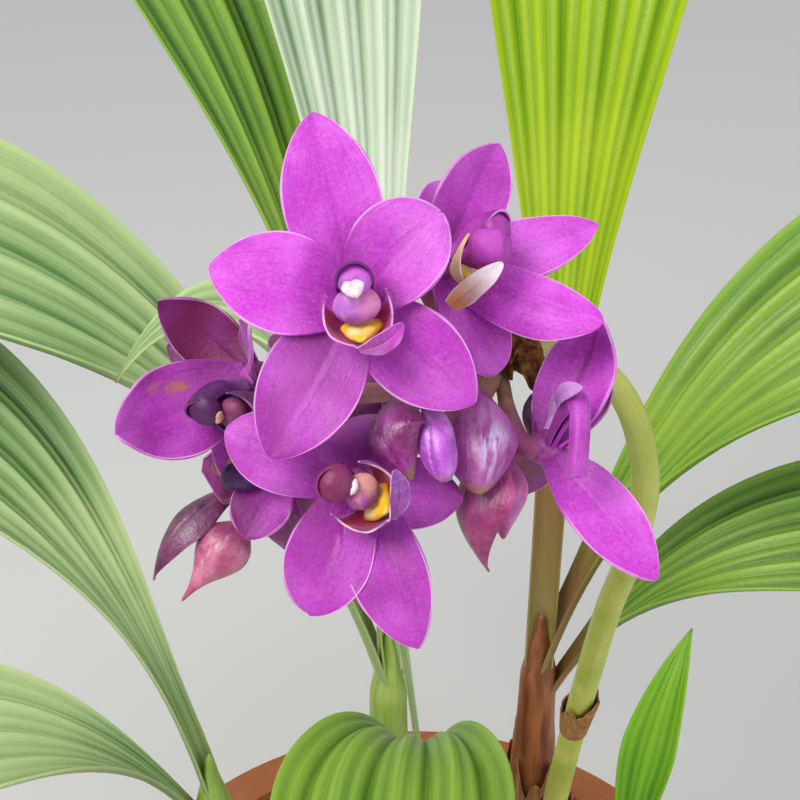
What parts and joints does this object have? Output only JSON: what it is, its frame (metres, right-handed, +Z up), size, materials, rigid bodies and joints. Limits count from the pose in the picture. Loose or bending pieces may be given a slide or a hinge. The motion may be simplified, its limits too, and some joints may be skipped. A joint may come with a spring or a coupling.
{
  "type": "potted orchid plant",
  "caption": "Potted ground orchid with long pleated leaves and one arching stem of magenta blooms and buds.",
  "frame": {"origin": "middle of the flat underside of the pot", "axes": "+Z up along the pot's axis, -Y towards the side that the blooms face, +X to their right"},
  "size_m": [0.4643, 0.329, 0.4555],
  "materials": {
    "clay": "unglazed, matte",
    "bark_mix": "rough bark chips",
    "leaf": "pleated, satin",
    "dry_sheath": "dry, papery",
    "stem": "smooth, satin",
    "tepal": "soft satin with fine veins",
    "column": "satin",
    "lip": "velvety",
    "callus": "waxy",
    "bud": "soft satin",
    "bract": "glossy skin",
    "withered": "dry, crumpled"
  },
  "bodies": {
    "root": {"pot": "clay", "potting_mix": "bark_mix", "shoot_middle_leaves": "leaf", "shoot_middle_sheath": "dry_sheath", "shoot_right_leaves": "leaf", "shoot_right_sheath": "dry_sheath", "shoot_left_leaves": "leaf", "shoot_left_sheath": "dry_sheath", "shoot_young_leaves": "leaf", "shoot_young_sheath": "dry_sheath", "shoot_front_leaves": "leaf", "shoot_front_sheath": "dry_sheath", "flower_stem": "stem", "bloom_front_tepals": "tepal", "bloom_front_column": "column", "bloom_front_lip": "lip", "bloom_front_callus": "callus", "bloom_upper_right_tepals": "tepal", "bloom_upper_right_column": "column", "bloom_upper_right_lip": "lip", "bloom_upper_right_callus": "callus", "bloom_left_tepals": "tepal", "bloom_left_column": "column", "bloom_left_lip": "lip", "bloom_left_callus": "callus", "bloom_lower_tepals": "tepal", "bloom_lower_column": "column", "bloom_lower_lip": "lip", "bloom_lower_callus": "callus", "bloom_right_tepals": "tepal", "bloom_right_column": "column", "bloom_right_lip": "lip", "bloom_right_callus": "callus", "bloom_lower_left_tepals": "tepal", "bloom_lower_left_column": "column", "bloom_lower_left_lip": "lip", "bloom_lower_left_callus": "callus", "bloom_back_tepals": "tepal", "bloom_back_column": "column", "bloom_back_lip": "lip", "bloom_back_callus": "callus", "bud_left": "bud", "bract_left": "bract", "bud_middle": "bud", "bract_middle": "bract", "bud_lower": "bud", "bract_lower": "bract", "bud_far_left": "bud", "bract_far_left": "bract", "withered_bloom": "withered"}
  },
  "joints": []
}
